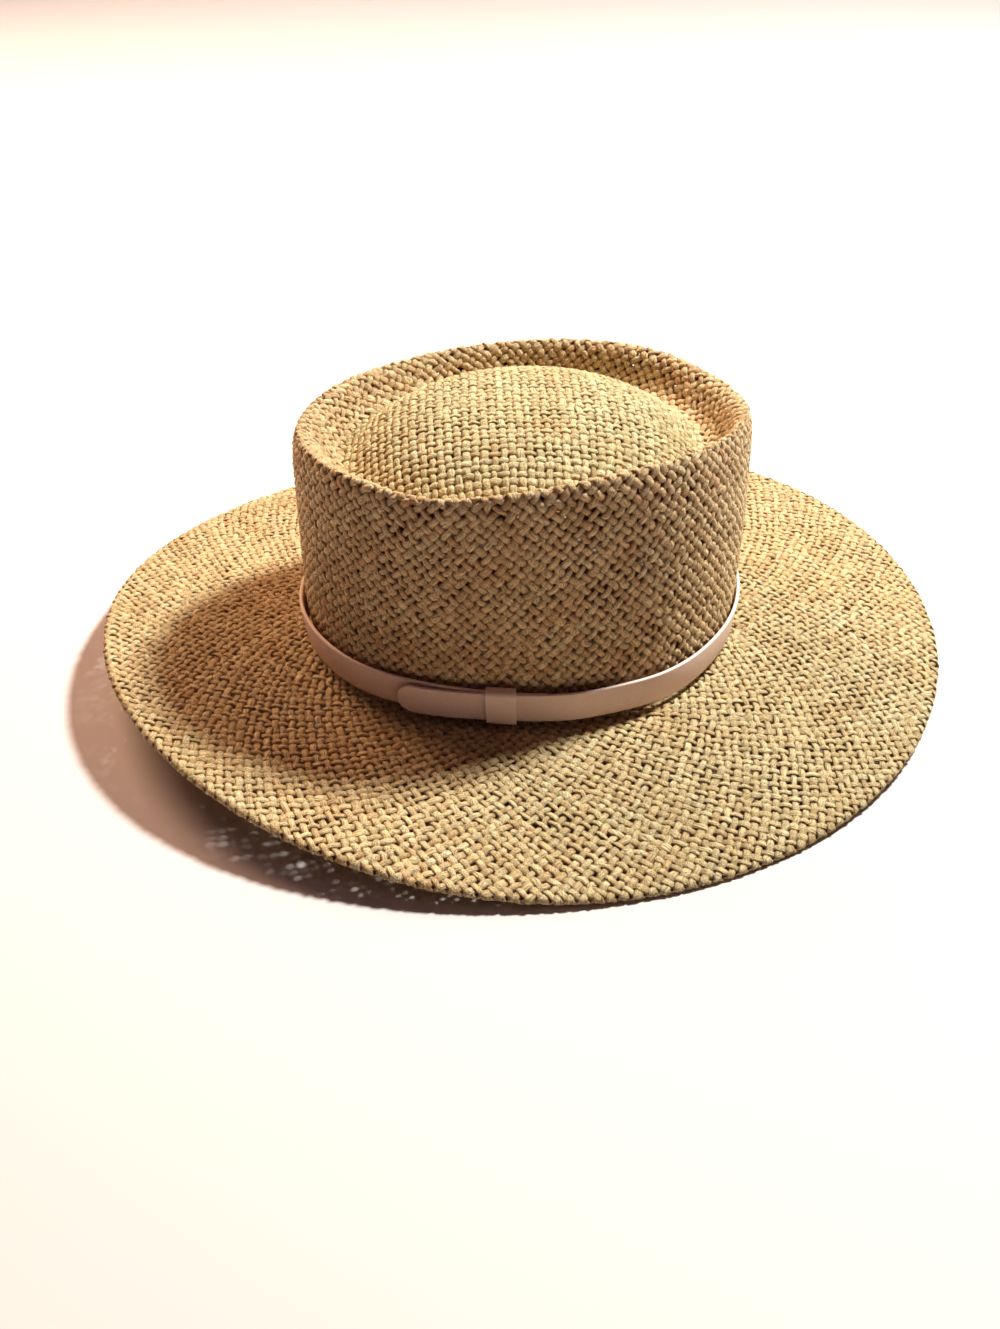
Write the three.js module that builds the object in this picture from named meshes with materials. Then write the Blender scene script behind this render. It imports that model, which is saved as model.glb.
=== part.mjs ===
// Woven straw hat with a leather band. The crown has a domed top in a channel inside a raised rim,
// and the wide brim droops at the sides, where the hat rests on a flat surface.
// Millimetres, +Z up from that surface, front of the hat towards -Y, wearer's left towards +X.

import * as THREE from 'three';

// Straw, crown
const strawWall = 2.2; // thickness of the woven straw
const footHalfWidth = 85.5; // outer face of the crown where it meets the brim, half across X
const footHalfLength = 95; // the same along Y
const footBulge = 4.5; // how far that line lies outside its ellipse where it is fullest
const footHeight = 16; // brim's upper face beside the crown at the hat's sides
const footFrontRise = 5.5; // how far that line is higher at the front
const footBackRise = 1.5; // the same at the back
const crownHeight = 101.6; // nominal height of the rim's crest above footHeight
const crestHalfWidth = 81.6; // crest of the rim, half across X
const crestHalfLength = 98.6; // the same along Y
const wallSwell = 3.5; // how far the wall stands out between its foot and the rim
const channelHeight = 83.6; // floor of the channel above footHeight
const domeHalfWidth = 69.6; // foot of the dome, half across X
const domeHalfLength = 77.6; // the same along Y
const domeRise = 23; // top of the dome above the channel's floor
const domeFullness = 3.6; // exponent of the dome's profile, fuller as it grows

// Straw, brim
const brimHalfWidth = 184.3; // outline of the brim, half across X
const brimHalfLength = 189.5; // the same along Y
const brimShift = 1.2; // how far the brim's middle lies behind the crown's
const brimFrontRise = 21.5; // underside of the edge above the surface at the front
const brimBackRise = 10.8; // the same at the back
const brimSkew = 2.8; // how far the edge is higher by the front right and back left, and lower between
const brimSag = 1.5; // exponent of the brim's fall from the crown to its edge
const bendRadius = 2.5; // turn from the crown's wall into the brim
const hemWidth = 5; // folded edge
const hemThickness = 3.6; // two layers of straw pressed together
const hemStep = 0.5; // slope of the fold's inner end
const restDepth = 0.3; // how much of the edge's curve is flat where the hat rests

// Leather
const strapHeight = 14.2;
const strapThickness = 1.6;
const strapEndRadius = 5.8; // corners of the strap's rounded end
const strapSlack = 0.9; // widest space that the strap leaves beyond the room of its keeper
const strapLapRise = 0.8; // how much higher the strap's beginning lies under its end
const keeperWidth = 11.4; // along the strap
const keeperThickness = 1.2;
const keeperAngle = -24; // degrees from +X towards +Y
const strapStartAngle = -13; // hidden beginning of the strap
const strapEndAngle = -48.4; // rounded end, after one full turn
const edgeBevel = 0.4; // worn edges of the leather

// Clearances
const seamGap = 0.3; // between crown and brim
const leatherGap = 0.3; // between leather and what lies next to it

// Fineness
const aroundSteps = 64;
const strapSteps = 78;
const keeperSteps = 4;
const endSteps = 5;

// Crown's foot round the hat: out is the share of footBulge by which it lies outside its ellipse. It is
// nearly straight beside the keeper, between two fuller places.
const footRows = [
  { angle: -150, out: 0.00 },
  { angle: -111, out: -0.30 },
  { angle: -88, out: 0.35 },
  { angle: -62, out: 1.00 },
  { angle: -42, out: 0.10 },
  { angle: -24, out: -0.35 },
  { angle: -6, out: 0.15 },
  { angle: 16, out: 1.00 },
  { angle: 40, out: 0.40 },
  { angle: 69, out: -0.25 },
  { angle: 110, out: 0.00 },
];

// Height of the rim's crest round the hat, as a share of crownHeight
const crestRows = [
  { angle: -150, up: 0.960 },
  { angle: -120, up: 0.970 },
  { angle: -90, up: 1.000 },
  { angle: -65, up: 1.016 },
  { angle: -42, up: 1.003 },
  { angle: -20, up: 1.049 },
  { angle: 5, up: 1.083 },
  { angle: 25, up: 1.074 },
  { angle: 55, up: 1.036 },
  { angle: 90, up: 0.960 },
  { angle: 125, up: 0.981 },
  { angle: 160, up: 0.973 },
  { angle: 185, up: 0.964 },
];

// Wall from the foot to the crest: rise is the share of the height, swell the share of wallSwell
// by which it stands out past the straight line between the two
const wallRows = [
  { rise: 0.00, swell: 0.00 },
  { rise: 0.07, swell: 0.46 },
  { rise: 0.15, swell: 0.76 },
  { rise: 0.32, swell: 0.92 },
  { rise: 0.52, swell: 1.00 },
  { rise: 0.72, swell: 1.00 },
  { rise: 0.88, swell: 0.90 },
  { rise: 0.95, swell: 0.66 },
  { rise: 0.985, swell: 0.36 },
  { rise: 1.00, swell: 0.00 },
];

// Inside of the rim: inward is the share of the way to the dome's foot, down that of the drop
const channelRows = [
  { inward: 0.20, down: 0.08 },
  { inward: 0.38, down: 0.34 },
  { inward: 0.56, down: 0.68 },
  { inward: 0.76, down: 0.93 },
  { inward: 0.93, down: 1.00 },
];

// Dome from its foot to its middle, as shares of its half width and half length
const domeRows = [0.90, 0.77, 0.62, 0.46, 0.30, 0.15];

// Brim from the bend to the folded edge, as shares of its width
const brimRows = [0.00, 0.10, 0.24, 0.40, 0.56, 0.72, 0.86];

// Strap round the hat: room is the share of the keeper's room that it leaves behind itself, slack
// that of strapSlack
const standoffRows = [
  { angle: -150, room: 0.30, slack: 0.00 },
  { angle: -110, room: 0.35, slack: 0.10 },
  { angle: -85, room: 1.00, slack: 0.80 },
  { angle: -50, room: 1.00, slack: 0.50 },
  { angle: -24, room: 1.00, slack: 0.35 },
  { angle: 0, room: 1.00, slack: 0.40 },
  { angle: 45, room: 0.70, slack: 0.10 },
  { angle: 90, room: 0.20, slack: 0.00 },
  { angle: 160, room: 0.30, slack: 0.10 },
];

// Strap by degrees turned since its beginning: rise is the share of strapLapRise, over the share of
// a layer by which it lies over itself
const lapRows = [
  { turn: 0, rise: -1, over: 0 },
  { turn: 27, rise: 1, over: 0 },
  { turn: 47, rise: 1, over: 0 },
  { turn: 97, rise: 0, over: 0 },
  { turn: 338, rise: 0, over: 0 },
  { turn: 356, rise: 0, over: 1 },
];

const straw = { color: 0xd9bd80, roughness: 0.85, metalness: 0 };
const leather = { color: 0xc09a80, roughness: 0.6, metalness: 0 };

const mix = (from, to, share) => from + (to - from) * share;
const radians = THREE.MathUtils.degToRad;

// Smooth closed curve through the rows of a table, read at an angle in degrees
function readRound(rows, column, angle) {
  const count = rows.length;
  const turn = 360;
  const at = (index) => rows[(index + count) % count];
  const angleOf = (index) => at(index).angle + turn * Math.floor(index / count);
  let where = angle;
  while (where < angleOf(0)) where += turn;
  while (where >= angleOf(count)) where -= turn;
  let index = 0;
  while (where >= angleOf(index + 1)) index += 1;
  const step = angleOf(index + 1) - angleOf(index);
  const share = (where - angleOf(index)) / step;
  const slope = (i) => (at(i + 1)[column] - at(i - 1)[column]) / (angleOf(i + 1) - angleOf(i - 1));
  const rest = 1 - share;
  return at(index)[column] * (1 + 2 * share) * rest * rest
    + at(index + 1)[column] * (3 - 2 * share) * share * share
    + step * share * rest * (slope(index) * rest - slope(index + 1) * share);
}

// Heights round the hat: a line is level at the two sides and rises towards the front and the back
function sideToEnds(angle, frontRise, backRise, power) {
  const along = Math.sin(radians(angle));
  return Math.abs(along) ** power * mix(frontRise, backRise, (1 + along) / 2);
}

const footOut = (angle) => footBulge * readRound(footRows, 'out', angle);
const footZ = (angle) => footHeight + sideToEnds(angle, footFrontRise, footBackRise, 3);
const crestZ = (angle) => footHeight + crownHeight * readRound(crestRows, 'up', angle);
const channelZ = footHeight + channelHeight;

// Underside of the brim's edge, flat where the hat rests
function edgeZ(angle) {
  const turn = radians(angle);
  const skew = brimSkew * Math.sin(2 * turn) * Math.abs(Math.sin(turn));
  return Math.max(0, sideToEnds(angle, brimFrontRise, brimBackRise, 2) - skew - restDepth);
}

function onEllipse(halfWidth, halfLength, angle, z) {
  const turn = radians(angle);
  return new THREE.Vector3(halfWidth * Math.cos(turn), halfLength * Math.sin(turn), z);
}

// Level direction that points away from the crown at an angle
function outward(angle) {
  const turn = radians(angle);
  const out = new THREE.Vector3(Math.cos(turn) / footHalfWidth, Math.sin(turn) / footHalfLength, 0);
  return out.normalize();
}

// Outer face of the crown's wall at a share of its height
function wallPoint(angle, rise) {
  const upper = Math.max(1, wallRows.findIndex((row) => row.rise >= rise));
  const [low, high] = [wallRows[upper - 1], wallRows[upper]];
  const share = (rise - low.rise) / (high.rise - low.rise);
  const swell = wallSwell * mix(low.swell, high.swell, share);
  const out = footOut(angle);
  const halfWidth = mix(footHalfWidth + out, crestHalfWidth, rise) + swell;
  const halfLength = mix(footHalfLength + out, crestHalfLength, rise) + swell;
  return onEllipse(halfWidth, halfLength, angle, mix(footZ(angle), crestZ(angle), rise));
}

const ringAngles = Array.from({ length: aroundSteps }, (_, step) => (360 * step) / aroundSteps);
const ringOf = (pointAt) => ringAngles.map(pointAt);

// Same rings moved square to their surface, outwards from a wall whose rings climb and downwards from
// a sheet whose rings widen. The first ring moves level.
function movedRings(rings, distance) {
  const count = aroundSteps;
  return rings.map((ring, row) => ring.map((point, step) => {
    const up = rings[Math.min(row + 1, rings.length - 1)][step].clone();
    up.sub(rings[Math.max(row - 1, 0)][step]);
    const round = ring[(step + 1) % count].clone().sub(ring[(step + count - 1) % count]);
    const normal = round.cross(up);
    if (row === 0) normal.z = 0;
    return point.clone().addScaledVector(normal.normalize(), distance);
  }));
}

// Closed body through rings of equally many points. Its ends close on two points of the axis, or,
// without them, the last ring joins the first.
function bodyThroughRings(rings, ends) {
  const around = rings[0].length;
  const points = rings.flat();
  const faces = [];
  const quad = (a, b, c, d) => faces.push(a, b, c, a, c, d);
  const spans = ends ? rings.length - 1 : rings.length;
  for (let row = 0; row < spans; row += 1) {
    const next = (row + 1) % rings.length;
    for (let step = 0; step < around; step += 1) {
      const beside = (step + 1) % around;
      quad(row * around + step, row * around + beside, next * around + beside, next * around + step);
    }
  }
  if (ends) {
    const last = (rings.length - 1) * around;
    const [first, second] = [points.length, points.length + 1];
    points.push(...ends);
    for (let step = 0; step < around; step += 1) {
      const beside = (step + 1) % around;
      faces.push(first, beside, step, second, last + step, last + beside);
    }
  }
  return { points, faces };
}

// Mesh with its faces pointing out, whichever way round its rings were given
function meshOf(name, { points, faces }, look) {
  const volume = faces.reduce((sum, _, index) => {
    if (index % 3) return sum;
    const [a, b, c] = faces.slice(index, index + 3).map((corner) => points[corner]);
    return sum + a.dot(b.clone().cross(c));
  }, 0);
  const geometry = new THREE.BufferGeometry().setFromPoints(points);
  geometry.setIndex(volume > 0 ? faces : faces.toReversed());
  geometry.computeVertexNormals();
  const mesh = new THREE.Mesh(geometry, new THREE.MeshStandardMaterial({ ...look, flatShading: true }));
  mesh.name = name;
  return mesh;
}

function makeCrown() {
  const firstRise = (angle) => (bendRadius + seamGap) / (crestZ(angle) - footZ(angle));
  const outer = wallRows.map(({ rise }) => ringOf((angle) => wallPoint(angle, rise || firstRise(angle))));
  channelRows.forEach((row) => outer.push(ringOf((angle) => onEllipse(
    mix(crestHalfWidth, domeHalfWidth, row.inward),
    mix(crestHalfLength, domeHalfLength, row.inward),
    angle,
    mix(crestZ(angle), channelZ, row.down),
  ))));
  domeRows.forEach((share) => {
    const z = channelZ + domeRise * (1 - share ** domeFullness);
    outer.push(ringOf((angle) => onEllipse(domeHalfWidth * share, domeHalfLength * share, angle, z)));
  });
  const inner = movedRings(outer, -strawWall);
  const top = new THREE.Vector3(0, 0, channelZ + domeRise);
  const ceiling = new THREE.Vector3(0, 0, channelZ + domeRise - strawWall);
  const rings = [...inner.reverse(), ...outer];
  return meshOf('crown', bodyThroughRings(rings, [ceiling, top]), straw);
}

function makeBrim() {
  const bendTurns = [0, 40, 65];
  const upper = bendTurns.map((turn) => ringOf((angle) => {
    const out = footOut(angle) + bendRadius * (1 - Math.cos(radians(turn)));
    const z = footZ(angle) + bendRadius * (1 - Math.sin(radians(turn)));
    return onEllipse(footHalfWidth + out, footHalfLength + out, angle, z);
  }));
  const brimPoint = (angle, share) => {
    const out = footOut(angle) + bendRadius;
    const point = onEllipse(
      mix(footHalfWidth + out, brimHalfWidth, share),
      mix(footHalfLength + out, brimHalfLength, share),
      angle,
      mix(footZ(angle), edgeZ(angle) + hemThickness, share ** brimSag),
    );
    point.y += brimShift * share;
    return point;
  };
  const hemShare = 1 - hemWidth / (brimHalfWidth - footHalfWidth - bendRadius);
  brimRows.forEach((share) => upper.push(ringOf((angle) => brimPoint(angle, share * hemShare))));
  upper.push(ringOf((angle) => brimPoint(angle, hemShare)));
  const lower = movedRings(upper, strawWall);
  upper.push(ringOf((angle) => brimPoint(angle, 1)));
  // The folded edge is level underneath, so that the hat has a flat to rest on at each side
  const foldShare = hemShare + hemStep / (brimHalfWidth - footHalfWidth);
  [foldShare, 1].forEach((share) => {
    lower.push(ringOf((angle) => brimPoint(angle, share).setZ(edgeZ(angle))));
  });
  return meshOf('brim', bodyThroughRings([...upper, ...lower.reverse()]), straw);
}

// The strap runs from its hidden beginning by the front, the far side and the back, passes over that
// beginning and ends in a rounded tip. Its way is told in degrees turned since the beginning.
const layerStep = strapThickness + leatherGap;
const roomBehindKeeper = keeperThickness + 2 * leatherGap;
const closestStrap = 2 * leatherGap;
const strapLift = bendHeight(leatherGap) + roomBehindKeeper;
const strapTurns = 360 + strapStartAngle - strapEndAngle;
const degreesPerMillimetre = 360 / (Math.PI * (footHalfWidth + footHalfLength));

// Height of the bend between wall and brim at a distance from the wall
function bendHeight(distance) {
  const left = Math.max(0, bendRadius - distance);
  return bendRadius - Math.sqrt(bendRadius ** 2 - left ** 2);
}

// Value of a column between the rows of a table, easing in and out
function readAlong(rows, column, turn) {
  const next = rows.findIndex((row) => row.turn > turn);
  if (next < 0) return rows.at(-1)[column];
  const [low, high] = [rows[next - 1], rows[next]];
  return mix(low[column], high[column], THREE.MathUtils.smoothstep(turn, low.turn, high.turn));
}

// Space behind one layer of the strap, and the height of its lower edge
function strapPlace(turn) {
  const angle = strapStartAngle - turn;
  const room = readRound(standoffRows, 'room', angle);
  const slack = strapSlack * readRound(standoffRows, 'slack', angle);
  return {
    angle,
    off: mix(closestStrap, roomBehindKeeper, room) + slack + layerStep * readAlong(lapRows, 'over', turn),
    bottom: footZ(angle) + strapLift + strapLapRise * readAlong(lapRows, 'rise', turn),
  };
}

// Point beside the crown's wall, at a level distance from it and a height
function besideWall(angle, off, z) {
  const rise = (z - footZ(angle)) / (crestZ(angle) - footZ(angle));
  return wallPoint(angle, rise).addScaledVector(outward(angle), off).setZ(z);
}

// Ring of a rectangle with cut corners, standing square to the wall
function bevelledRing(angle, [near, far], [low, high], bevel) {
  const corners = [
    [near, low + bevel], [near + bevel, low], [far - bevel, low], [far, low + bevel],
    [far, high - bevel], [far - bevel, high], [near + bevel, high], [near, high - bevel],
  ];
  return corners.map(([off, z]) => besideWall(angle, off, z));
}

function makeStrap() {
  const roundTurns = strapEndRadius * degreesPerMillimetre;
  const stations = [];
  for (let step = 0; step < strapSteps; step += 1) {
    stations.push({ turn: ((strapTurns - roundTurns) * step) / strapSteps, inset: 0 });
  }
  for (let step = 0; step <= endSteps; step += 1) {
    const round = radians((90 * step) / endSteps);
    stations.push({
      turn: strapTurns - roundTurns * (1 - Math.sin(round)),
      inset: strapEndRadius * (1 - Math.cos(round)),
    });
  }
  const rings = stations.map(({ turn, inset }) => {
    const { angle, off, bottom } = strapPlace(turn);
    const heights = [bottom + inset, bottom + strapHeight - inset];
    return bevelledRing(angle, [off, off + strapThickness], heights, edgeBevel);
  });
  const ends = [rings[0], rings.at(-1)].map((ring) => ring[0].clone().lerp(ring[4], 0.5));
  return meshOf('band_strap', bodyThroughRings(rings, ends), leather);
}

function makeKeeper() {
  const halfTurn = (keeperWidth * degreesPerMillimetre) / 2;
  const middle = strapStartAngle - keeperAngle;
  const wall = keeperThickness;
  const [outer, inner] = [[], []];
  for (let step = 0; step <= keeperSteps; step += 1) {
    const turn = middle + mix(-halfTurn, halfTurn, step / keeperSteps);
    const [under, over] = [strapPlace(turn), strapPlace(turn + 360)];
    const near = under.off - leatherGap;
    const far = over.off + strapThickness + leatherGap;
    const low = Math.min(under.bottom, over.bottom) - leatherGap;
    const high = Math.max(under.bottom, over.bottom) + strapHeight + leatherGap;
    inner.push(bevelledRing(under.angle, [near, far], [low, high], edgeBevel / 2));
    const [lowest, highest] = [low - wall, high + wall];
    outer.push(bevelledRing(under.angle, [near - wall, far + wall], [lowest, highest], edgeBevel * 2));
  }
  return meshOf('band_keeper', bodyThroughRings([...outer, ...inner.reverse()]), leather);
}

const hat = new THREE.Group();
hat.name = 'straw_hat';
hat.position.y = -brimShift;
hat.add(makeCrown(), makeBrim(), makeStrap(), makeKeeper());

export default hat;
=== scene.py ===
import math

import bmesh
import bpy
import numpy as np
from mathutils import Matrix, Vector


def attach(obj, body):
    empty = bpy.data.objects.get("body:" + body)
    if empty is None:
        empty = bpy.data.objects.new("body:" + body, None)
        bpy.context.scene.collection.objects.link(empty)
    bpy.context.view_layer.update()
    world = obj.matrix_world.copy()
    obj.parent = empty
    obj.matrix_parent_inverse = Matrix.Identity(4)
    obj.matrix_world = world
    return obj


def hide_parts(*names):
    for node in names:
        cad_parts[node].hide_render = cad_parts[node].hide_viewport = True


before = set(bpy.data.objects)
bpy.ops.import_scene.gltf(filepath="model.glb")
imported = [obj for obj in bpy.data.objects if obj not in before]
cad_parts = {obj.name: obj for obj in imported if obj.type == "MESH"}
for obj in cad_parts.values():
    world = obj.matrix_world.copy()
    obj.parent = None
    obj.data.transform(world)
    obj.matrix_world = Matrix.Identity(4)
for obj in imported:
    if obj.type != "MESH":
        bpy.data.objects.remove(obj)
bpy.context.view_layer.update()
print("frame loaded")

# Form of the hat in metres, front towards -Y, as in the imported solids
hat = {
    "strawWall": 0.0022,
    "footHalf": (0.0855, 0.0950),  # outer face where the crown meets the brim, across X and along Y
    "footBulge": 0.0045,  # how far the foot lies outside its ellipse where it is fullest
    "footHeight": 0.0160,
    "footRise": (0.0055, 0.0015),  # higher at the front and the back
    "crownHeight": 0.1016,
    "crestHalf": (0.0816, 0.0986),
    "wallSwell": 0.0035,
    "channelHeight": 0.0836,
    "domeHalf": (0.0696, 0.0776),
    "domeRise": 0.0230,
    "brimHalf": (0.1843, 0.1895),
    "brimShift": 0.0012,  # how far the brim's middle lies behind the crown's
    "brimRise": (0.0215, 0.0108),
    "brimSkew": 0.0028,  # how far the edge is higher by the front right and back left
    "brimSag": 1.5,  # exponent of the brim's fall to its edge
    "bendRadius": 0.0025,
    "hemWidth": 0.0050,
    "hemThickness": 0.0036,
    "restDepth": 0.0003,  # how much of the edge's curve is flat where the hat rests
    "seamGap": 0.0003,  # between crown and brim
}

# Degrees round the hat from +X, and how far the crown's foot lies outside its ellipse, as a share of
# footBulge. It is nearly straight beside the keeper, between two fuller places.
footRows = [
    (-150, 0.00), (-111, -0.30), (-88, 0.35), (-62, 1.00), (-42, 0.10), (-24, -0.35), (-6, 0.15),
    (16, 1.00), (40, 0.40), (69, -0.25), (110, 0.00),
]

# Degrees round the hat, and height of the rim's crest as a share of crownHeight
crestRows = [
    (-150, 0.960), (-120, 0.970), (-90, 1.000), (-65, 1.016), (-42, 1.003), (-20, 1.049), (5, 1.083),
    (25, 1.074), (55, 1.036), (90, 0.960), (125, 0.981), (160, 0.973), (185, 0.964),
]

# Share of the wall's height, and of wallSwell
wallRows = [
    (0.00, 0.00), (0.07, 0.46), (0.15, 0.76), (0.32, 0.92), (0.52, 1.00), (0.72, 1.00), (0.88, 0.90),
    (0.95, 0.66), (0.985, 0.36), (1.00, 0.00),
]

# Inside of the rim: share of the way to the dome's foot, and of the drop
channelRows = [(0.20, 0.08), (0.38, 0.34), (0.56, 0.68), (0.76, 0.93), (0.93, 1.00), (1.00, 1.00)]

# Brim from the bend to the folded edge, as shares of its width
brimShares = [0.00, 0.10, 0.24, 0.40, 0.56, 0.72, 0.86, 1.00]

footHalf, crestHalf, domeHalf, brimHalf = (
    np.array(hat[name]) for name in ("footHalf", "crestHalf", "domeHalf", "brimHalf")
)
channelZ = hat["footHeight"] + hat["channelHeight"]


def mix(start, end, share):
    return start + (end - start) * share


def unit(vectors):
    return vectors / np.linalg.norm(vectors, axis=-1, keepdims=True)


# Point of the smooth curve between two values with the slopes that it has there
def curvePoint(start, end, startSlope, endSlope, step, share):
    rest = 1 - share
    return (
        start * (1 + 2 * share) * rest**2
        + end * (3 - 2 * share) * share**2
        + step * share * rest * (startSlope * rest - endSlope * share)
    )


# Smooth closed curve through rows of (degrees, value)
def readRound(rows, angle):
    knots, values = (np.array(column, float) for column in zip(*rows))
    count = len(knots)
    where = knots[0] + (angle - knots[0]) % 360
    index = np.searchsorted(knots, where, side="right") - 1

    def knot(i):
        return knots[i % count] + 360 * (i // count)

    def slope(i):
        return (values[(i + 1) % count] - values[(i - 1) % count]) / (knot(i + 1) - knot(i - 1))

    step = knot(index + 1) - knot(index)
    share = (where - knot(index)) / step
    ends = values[index], values[(index + 1) % count]
    return curvePoint(*ends, slope(index), slope(index + 1), step, share)


# Nothing at the hat's sides, rising to the front and to the back
def sideToEnds(angle, rises, power):
    along = np.sin(np.radians(angle))
    return np.abs(along) ** power * mix(rises[0], rises[1], (1 + along) / 2)


# Half width and half length of the ellipse that the crown's foot lies on at an angle
def footSize(angle):
    out = hat["footBulge"] * readRound(footRows, angle)
    return np.stack([footHalf[0] + out, footHalf[1] + out])


def footZ(angle):
    return hat["footHeight"] + sideToEnds(angle, hat["footRise"], 3)


def crestZ(angle):
    return hat["footHeight"] + hat["crownHeight"] * readRound(crestRows, angle)


def edgeZ(angle):
    turn = np.radians(angle)
    skew = hat["brimSkew"] * np.sin(2 * turn) * np.abs(np.sin(turn))
    return np.maximum(0, sideToEnds(angle, hat["brimRise"], 2) - skew - hat["restDepth"])


def onEllipse(half, angle, z, shift=0.0):
    turn = np.radians(angle)
    back = -hat["brimShift"] + shift
    return np.stack([half[0] * np.cos(turn), half[1] * np.sin(turn) + back, z + 0 * turn], -1)


def wallPoint(angle, rise):
    swell = hat["wallSwell"] * np.interp(rise, *zip(*wallRows))
    foot = footSize(angle)
    half = [mix(foot[axis], crestHalf[axis], rise) + swell for axis in (0, 1)]
    return onEllipse(half, angle, mix(footZ(angle), crestZ(angle), rise))


def brimPoint(angle, share):
    foot = footSize(angle) + hat["bendRadius"]
    half = [mix(foot[axis], brimHalf[axis], share) for axis in (0, 1)]
    z = mix(footZ(angle), edgeZ(angle) + hat["hemThickness"], share ** hat["brimSag"])
    return onEllipse(half, angle, z, hat["brimShift"] * share)


# The woven sheet between its two faces: rings of crossings run round the hat from the channel over the
# rim, down the wall, out over the brim and back under the folded edge
weave = {
    "pitch": 0.0038,  # from one straw to the next beside it
    "width": (0.0030, 0.0040),
    "widthChange": 0.22,  # along one straw
    "roll": 22,  # degrees that a straw leans to either side
    "thickness": 0.00160,
    "lift": 0.00058,  # swing of a straw to each side of the sheet
    "brimPressed": 0.5,  # how flat the ironed brim is, from the crown's 0 to the folded edge's 1
    "brimPressing": 6,  # rings over which that sets in
    "hemPressing": 2,  # the same at the folded edge
    "hemAhead": 1.5,  # rings before the folded edge where it begins
    "hemThickness": 0.00115,
    "hemLift": 0.00034,
    "stray": 0.00070,  # how far a crossing is off its place
    "hemStray": 0.5,  # share of that at the folded edge
    "looseShare": 0.15,  # share of crossings that are further off
    "looseStray": 1.8,  # how many times as far these are off
    "waviness": 0.0005,  # slow unevenness of the sheet
    "birthOrder": 3,  # how many times wider the gaps spread than the chance in choosing among them
    "evenings": 6,  # times that the crossings of a ring are spread more evenly
    "evening": 0.5,  # share of the way to the middle of their neighbours
    "startReach": 0.45,  # how far a straw runs on before its first crossing, in crossings
    "endReach": 0.40,  # the same past its last one
    "overlap": 0.2,  # how far the straws of crown and brim reach into each other
    "endLength": 0.1,  # length of a straw's rounded end, in crossings
    "endSize": 0.7,  # width of a straw where that end begins, as a share
    "plump": 0.05,  # half of the share by which a straw is narrower between its crossings
    "tint": (0.5, 0.09, 0.28),  # middle, spread from straw to straw, and change along one straw
    "sides": 6,
    "steps": 3,  # rings of a straw from one crossing to the next
    "domeTurn": 72,  # degrees from the hat's length to the dome's straws
    "domeReach": 1.045,  # where the dome's straws dive into the channel, as a share of its foot
    "tuck": 0.0011,  # how deep a straw's end is pushed under
    "seed": 11,
}
bendTurns = [40, 65]  # degrees of the turn from the wall into the brim that have rows
foldTurns = [90, 45, 0, -45, -90]
columns = 360
columnAngles = np.arange(columns) * 360 / columns
ringStep = weave["pitch"] / math.sqrt(2)
crossingStep = weave["pitch"] * math.sqrt(2)
chance = np.random.default_rng(weave["seed"])


# Rows moved square to their sheet, outwards where the distance is positive
def movedRows(rows, distance):
    along = np.gradient(rows, axis=0)
    around = np.roll(rows, -1, 1) - np.roll(rows, 1, 1)
    return rows + unit(np.cross(along, around)) * distance


# Finer rows on a smooth curve through the given ones
def smoothRows(rows, steps):
    chords = np.linalg.norm(np.diff(rows, axis=0), axis=2).mean(1)
    knots = np.concatenate([[0], np.cumsum(chords)])
    slopes = np.gradient(rows, knots, axis=0)
    finer = []
    for k, chord in enumerate(chords):
        for share in np.arange(steps) / steps:
            finer.append(curvePoint(rows[k], rows[k + 1], slopes[k], slopes[k + 1], chord, share))
    return np.array([*finer, rows[-1]])


# Rows at even distances along the sheet, from the first of the given ones to the last
def evenRows(rows, count):
    lengths = np.linalg.norm(np.diff(rows, axis=0), axis=2)
    reach = np.concatenate([np.zeros((1, columns)), np.cumsum(lengths, 0)])
    even = np.linspace(0, 1, count + 1)
    result = np.empty((count + 1, columns, 3))
    for column in range(columns):
        for axis in range(3):
            at = even * reach[-1, column]
            result[:, column, axis] = np.interp(at, reach[:, column], rows[:, column, axis])
    return result


def meanLength(rows):
    return np.linalg.norm(np.diff(rows, axis=0), axis=2).sum(0).mean()


# Rows of the sheet from the dome's foot to the end of the fold, with the place of the row at the crown's
# foot and of the last one before the fold
def sheetRows():
    angle = columnAngles
    rows = [
        onEllipse(mix(crestHalf, domeHalf, inward), angle, mix(crestZ(angle), channelZ, down))
        for inward, down in reversed(channelRows)
    ]
    lowest = hat["bendRadius"] + hat["seamGap"] / 2
    for rise, _ in reversed(wallRows):
        rows.append(wallPoint(angle, np.maximum(rise, lowest / (crestZ(angle) - footZ(angle)))))
    footRow = len(rows) - 1
    for turn in np.radians(bendTurns):
        out = hat["bendRadius"] * (1 - math.cos(turn))
        up = hat["bendRadius"] * (1 - math.sin(turn))
        rows.append(onEllipse(footSize(angle) + out, angle, footZ(angle) + up))
    width = brimHalf[0] - footHalf[0] - hat["bendRadius"]
    hemShare = 1 - hat["hemWidth"] / width
    rows += [brimPoint(angle, share * hemShare) for share in brimShares]
    rows = list(movedRows(np.array(rows), -hat["strawWall"] / 2))
    hemRow = len(rows) - 1
    # folded edge: half a turn round its own middle, and back underneath
    radius = hat["hemThickness"] / 4
    for degrees in foldTurns:
        out = radius * (math.cos(math.radians(degrees)) - 2)
        up = radius * (2 + math.sin(math.radians(degrees)))
        rows.append(onEllipse(brimHalf + out, angle, edgeZ(angle) + up, hat["brimShift"]))
    for back in (0.5, 1.0):
        inner = brimHalf - 2 * radius - (hat["hemWidth"] - 2 * radius) * back
        rows.append(onEllipse(inner, angle, edgeZ(angle) + radius, hat["brimShift"]))
    return np.array(rows), footRow, hemRow


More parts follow.
